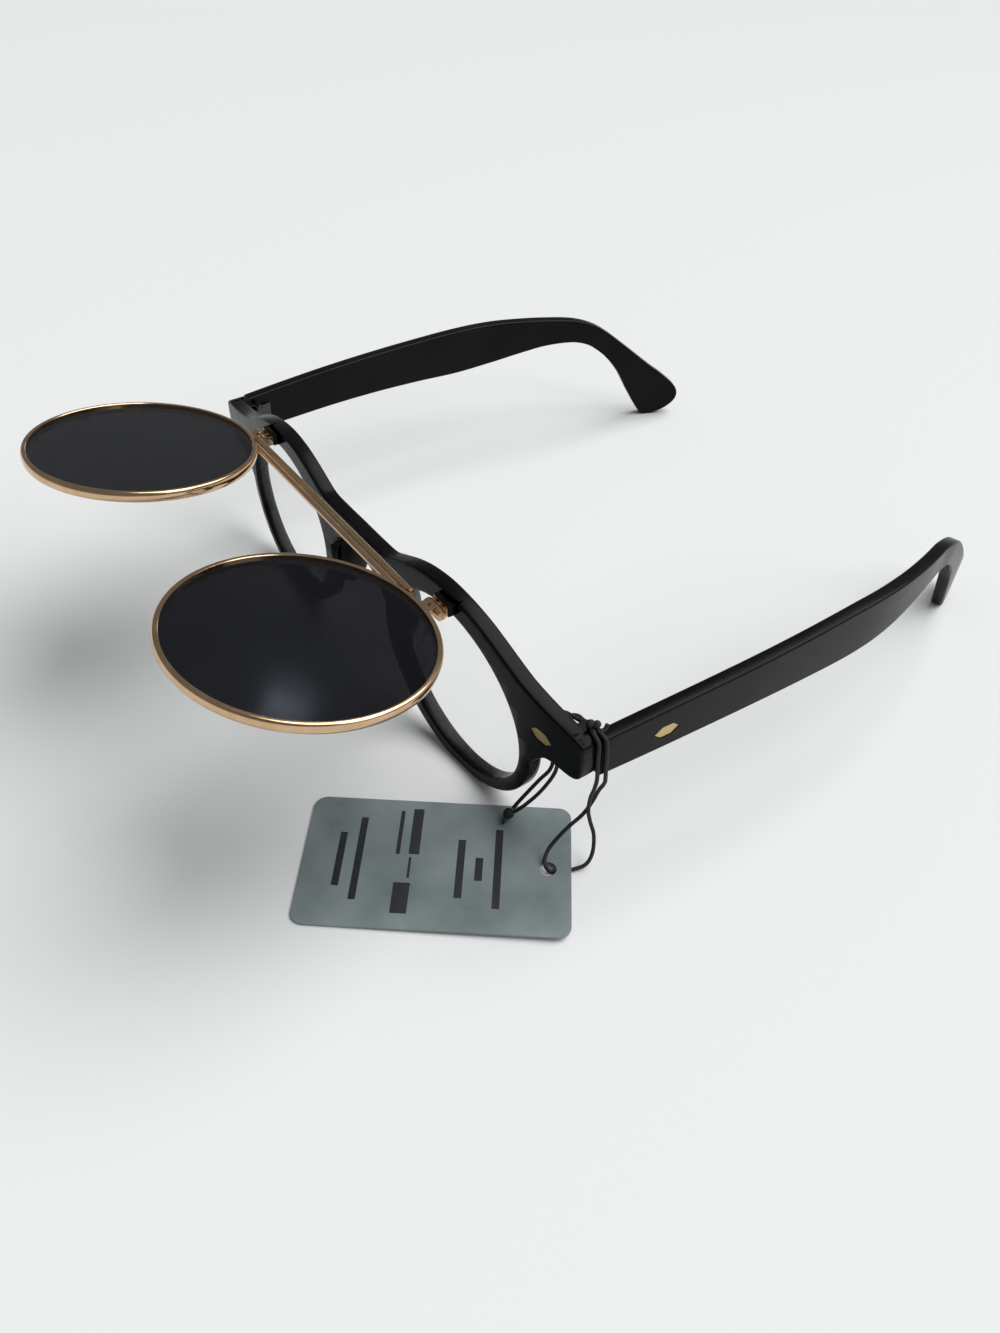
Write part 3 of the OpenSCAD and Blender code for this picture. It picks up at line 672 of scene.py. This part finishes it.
def bowX(d):
    bow = temple["bow"] * math.sin(math.radians(min(d, 104) * 180 / 104))
    return temple["x"] + bow - temple["tipTurn"] * max(0, (d - 72) / 70) ** 1.85


def bowTurn(d):
    return math.atan(bowX(d + 0.5) - bowX(d - 0.5))


def buildTemple(side, word):
    mesh = slabMesh("temple", [templeOutline()], temple["thick"], temple["edge"], 3)
    shape = bmesh.new()
    shape.from_mesh(mesh)
    bmesh.ops.remove_doubles(shape, verts=shape.verts, dist=0.004)
    sliceAlong(shape, 0, [d * 3 for d in range(1, 48)])
    for v in shape.verts:
        d, depth = v.co.x, v.co.y
        turn = bowTurn(d)
        x = bowX(d) - depth * math.cos(turn)
        y = max(templeY + d + depth * math.sin(turn), templeY)
        v.co = toFrame((side * x, y, v.co.z))
    if side > 0:
        bmesh.ops.reverse_faces(shape, faces=shape.faces)
    shape.to_mesh(mesh)
    shape.free()
    piece = addPiece("black_temple_" + word, mesh, word + "_temple", "black_plastic")
    back = temple["rivetBack"]
    turn = math.radians(90) - bowTurn(back)
    shape = lozengePrism(turn, rivet["length"], rivet["wide"], rivet["sunk"])
    for v in shape.verts:
        v.co += Vector((bowX(back), templeY + back, layout["hingeHeight"]))
        v.co.x *= side
        v.co = toFrame(v.co)
    bmesh.ops.recalc_face_normals(shape, faces=shape.faces)
    cutWith(piece, shape)
    shadeByAngle(piece.data, 35)
    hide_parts("temple_" + word)


for side, word in ((1, "left"), (-1, "right")):
    buildTemple(side, word)
print("temples built")


# Wire rims, turned from a rounded section
wire = {
    "ahead": 3.4,
    "height": 44.6,
    "up": 9.1,
    "reach": 27.4,
    "drop": 2.4,
    "pitch": 72.4,
    "wrap": 3.7,
    "oval": 1.07,
    "turn": 62,
    "radius": 22.8,
    "wide": 1.1,
    "tall": 2.2,
}


def raisedFrame():
    place = Matrix.Translation((0, -wire["ahead"], wire["height"]))
    turn = Matrix.Rotation(math.radians(-wire["up"]), 4, "X")
    return place @ turn @ Matrix.Translation((0, -wire["reach"], wire["drop"]))


def ringFrame():
    long = math.sqrt(wire["oval"])
    stretch = Matrix.Diagonal((long, 1 / long, 1, 1))
    back = Matrix.Rotation(math.radians(wire["wrap"]), 4, "Y")
    slant = Matrix.Rotation(math.radians(wire["turn"]), 4, "Z")
    return Matrix.Translation((wire["pitch"] / 2, 0, 0)) @ back @ slant @ stretch


def rimSection():
    # Rounded outside, flat inside: r and z of the section's corners
    r, w, h = wire["radius"], wire["wide"], wire["tall"]
    section = [(r, -0.12), (r + 0.12, 0)]
    for k in range(9):
        t = math.radians(90 - k * 180 / 8)
        section.append((r + w - 0.45 + 0.45 * math.cos(t), -h / 2 + (h / 2) * math.sin(t)))
    section += [(r + 0.12, -h), (r, -h + 0.12)]
    return section


def buildRim(side, word):
    section = rimSection()
    count = 192
    place = raisedFrame() @ ringFrame()
    shape = bmesh.new()
    rings = []
    for i in range(count):
        t = math.radians(i * 360 / count)
        ring = []
        for r, z in section:
            at = place @ Vector((r * math.cos(t), r * math.sin(t), z))
            ring.append(shape.verts.new(toFrame((side * at.x, at.y, at.z))))
        rings.append(ring)
    for i in range(count):
        a, b = rings[i], rings[(i + 1) % count]
        for k in range(len(section)):
            n = (k + 1) % len(section)
            shape.faces.new((a[k], a[n], b[n], b[k]))
    bmesh.ops.recalc_face_normals(shape, faces=shape.faces)
    mesh = bpy.data.meshes.new("rim")
    shape.to_mesh(mesh)
    shape.free()
    piece = addPiece("wire_rim_" + word, mesh, "flip_lenses", "gold_wire", 40)
    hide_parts("flip_rim_" + word)


for side, word in ((1, "left"), (-1, "right")):
    buildRim(side, word)
print("wire rims built")


# The thread: one length, its two ends meeting over the tag (the knot itself is not modelled), twice round
# the end piece and through the tag's hole
thread = {"diameter": 0.8, "wrapTop": endTop + 0.75, "side": halfWidth + 0.5, "swing": halfWidth + 1.05}


def threadRoute():
    top, side, swing = thread["wrapTop"], thread["side"], thread["swing"]
    foreTail = [(62.3, 7.2, 24.8), (62.2, 7.4, 21), (61.7, 7.3, 17), (60, 6.3, 12.9),
        (57.8, 4.7, 7.1), (56.9, 3.5, 4.2), (56.75, 2.75, 3.2)]
    foreTurn = [(62.3, 7.2, 30), (62.8, 7.7, 33.4), (65.4, 7.9, 34.5),
        (67.6, 7.9, 35.2), (69, 8.1, 35.9), (70.5, 7.6, top + 0.1), (72.2, 7.1, top - 0.1),
        (side - 0.4, 7.1, top - 0.8), (side, 7.2, 34), (side, 7.5, 29.5)]
    loop = [(side, 7.9, 25.2), (73.3, 8.3, 21.6), (72, 9, 17.4), (71.4, 9.6, 12.6), (71.9, 10.1, 9.4),
        (73.2, 10.3, 6.6), (74.5, 9.4, 3.2), (75.1, 7.6, 1.4), (74.4, 5.4, 0.6), (73.2, 2.6, 0.5),
        (72.2, 1, 0.5), (71.5, 0.3, 1.5), (70.2, 0.8, 2.2), (69.2, 2.4, 3.3), (69.1, 4.4, 5.2),
        (69.6, 6.8, 8), (70.5, 9.2, 11), (71.3, 10.5, 15), (72.6, 10.3, 19.4), (73.9, 10, 22.6)]
    rearTurn = [(swing, 9.5, 24.9), (swing, 9, 29.5), (swing, 8.6, 34.4), (swing - 0.5, 8.4, top - 0.5),
        (72.6, 8.2, top), (70.7, 8.4, top + 0.1), (69.2, 8.9, 35.6), (67.8, 8.8, 34.8),
        (65.7, 8.8, 34.4), (63.6, 8.4, 32.6), (63.3, 7.4, 30)]
    rearTail = [(63.3, 7.4, 24.8), (63.3, 7.5, 21), (63.1, 7.4, 17.5), (62.2, 6.5, 13.7),
        (60.6, 5.2, 9.2), (58.7, 3.4, 5), (57.7, 2.4, 3.3)]
    return foreTail[::-1] + foreTurn + loop + rearTurn + rearTail


def routeCurve(name, points, radius):
    line = bpy.data.curves.new(name, "CURVE")
    line.dimensions = "3D"
    line.bevel_depth = radius * mm
    line.bevel_resolution = 4
    line.use_fill_caps = True
    spline = line.splines.new("POLY")
    spline.points.add(len(points) - 1)
    for point, at in zip(spline.points, points):
        point.co = (*toFrame(at), 1)
    piece = bpy.data.objects.new(name, line)
    bpy.context.scene.collection.objects.link(piece)
    line.materials.append(looks["thread"])
    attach(piece, "front")
    return piece


def buildThread():
    route = curve(threadRoute(), 5)
    length = sum((b - a).length for a, b in zip(route, route[1:]))
    cord = routeCurve("tag_thread", route, thread["diameter"] / 2)
    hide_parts("thread_wrap", "thread_loop", "thread_tails")
    top = thread["wrapTop"]
    stub = [(72.6, 8.3, top + 0.1), (72.7, 9.2, top + 0.3), (72.6, 9.8, top + 1.2)]
    routeCurve("thread_loose_end", curve(stub, 5), thread["diameter"] / 2)
    start = toFrame(route[0])
    thread["diameter"] * mm
    print("thread is", round(length), "mm long")


buildThread()


# Plain dark bars across the tag: middle along it, middle across it, width and length
tag = {
    "mid": (58.4, -16.8),
    "turn": 52,
    "lift": 1.1,
    "long": 53,
    "thick": 0.5,
    "bars": [(12, -0.5, 1.5, 19), (8.3, -1, 1.5, 5.5), (4.6, -1, 1.5, 14), (-4.8, 7.6, 2.1, 11.5),
        (-8, 7.2, 0.8, 11), (-5.4, -1.4, 0.5, 5), (-6.4, -8.6, 3.2, 7), (-15.6, 0.5, 1.4, 20),
        (-19.3, 0, 1.4, 13)],
}


def tagPlace():
    half = tag["long"] / 2
    place = Matrix.Translation((tag["mid"][0], tag["mid"][1], 0))
    turn = Matrix.Rotation(math.radians(tag["turn"]), 4, "Z")
    lift = Matrix.Rotation(math.radians(-tag["lift"]), 4, "Y")
    return place @ turn @ Matrix.Translation((-half, 0, 0)) @ lift @ Matrix.Translation((half, 0, 0))


def buildTagBars():
    place = tagPlace()
    shape = bmesh.new()
    for u, v, wide, long in tag["bars"]:
        corners = [(u - wide / 2, v - long / 2), (u + wide / 2, v - long / 2),
            (u + wide / 2, v + long / 2), (u - wide / 2, v + long / 2)]
        under = [shape.verts.new((x, y, tag["thick"] - 0.02)) for x, y in corners]
        over = [shape.verts.new((x, y, tag["thick"] + 0.03)) for x, y in corners]
        shape.faces.new(under[::-1])
        shape.faces.new(over)
        for i in range(4):
            j = (i + 1) % 4
            shape.faces.new((under[i], under[j], over[j], over[i]))
    for v in shape.verts:
        v.co = toFrame(place @ v.co)
    mesh = bpy.data.meshes.new("tag bars")
    shape.to_mesh(mesh)
    shape.free()
    addPiece("tag_plain_bars", mesh, "front", "plain_ink")


buildTagBars()
print("tag bars built")


# Studio: a pale floor and soft light
studio = {"floor": (0.82, 0.83, 0.83), "size": 6, "world": 0.2, "backdrop": 0.68}


def buildStudio():
    paint = Paint("studio floor", studio["floor"], 0.9)
    paint.set("Specular IOR Level", 0.1)
    shape = bmesh.new()
    bmesh.ops.create_grid(shape, x_segments=1, y_segments=1, size=studio["size"] / 2)
    mesh = bpy.data.meshes.new("studio floor")
    shape.to_mesh(mesh)
    shape.free()
    mesh.materials.append(paint.material)
    floor = bpy.data.objects.new("studio_floor", mesh)
    bpy.context.scene.collection.objects.link(floor)
    world = bpy.data.worlds.new("studio")
    world.use_nodes = True
    tree = world.node_tree
    sky = tree.nodes["Background"]
    sky.inputs["Color"].default_value = (0.93, 0.96, 1, 1)
    # The camera sees a pale backdrop, while the pieces are lit by a dim sky
    path = tree.nodes.new("ShaderNodeLightPath")
    strength = tree.nodes.new("ShaderNodeMath")
    strength.operation = "MULTIPLY_ADD"
    strength.inputs[1].default_value = studio["backdrop"]
    strength.inputs[2].default_value = studio["world"]
    tree.links.new(path.outputs["Is Camera Ray"], strength.inputs[0])
    tree.links.new(strength.outputs[0], sky.inputs["Strength"])
    bpy.context.scene.world = world


# The key is a broad, even light, so the floor stays pale all the way back
key = {"place": (0.25, 1.0, 1.6), "angle": 1.0, "strength": 2.8, "color": (1, 0.995, 0.98)}
lamps = {
    "side": {"place": (1.3, 0.6, 1.1), "size": 0.8, "power": 6, "color": (0.95, 0.98, 1)},
    "streak": {"place": (-0.81, 0.63, 1.04), "size": 0.07, "power": 0.04, "color": (0.7, 0.84, 1)},
}


def hangLamp(data, name, lamp):
    data.color = lamp["color"]
    light = bpy.data.objects.new("lamp_" + name, data)
    bpy.context.scene.collection.objects.link(light)
    light.location = lamp["place"]
    light.rotation_euler = (-Vector(lamp["place"])).to_track_quat("-Z", "Y").to_euler()


def buildLamps():
    data = bpy.data.lights.new("key", "SUN")
    data.angle = key["angle"]
    data.energy = key["strength"]
    hangLamp(data, "key", key)
    for name, lamp in lamps.items():
        data = bpy.data.lights.new(name, "AREA")
        data.size = lamp["size"]
        data.energy = lamp["power"]
        hangLamp(data, name, lamp)


buildStudio()
buildLamps()
bpy.context.scene.view_settings.view_transform = "Standard"
print("studio lit")
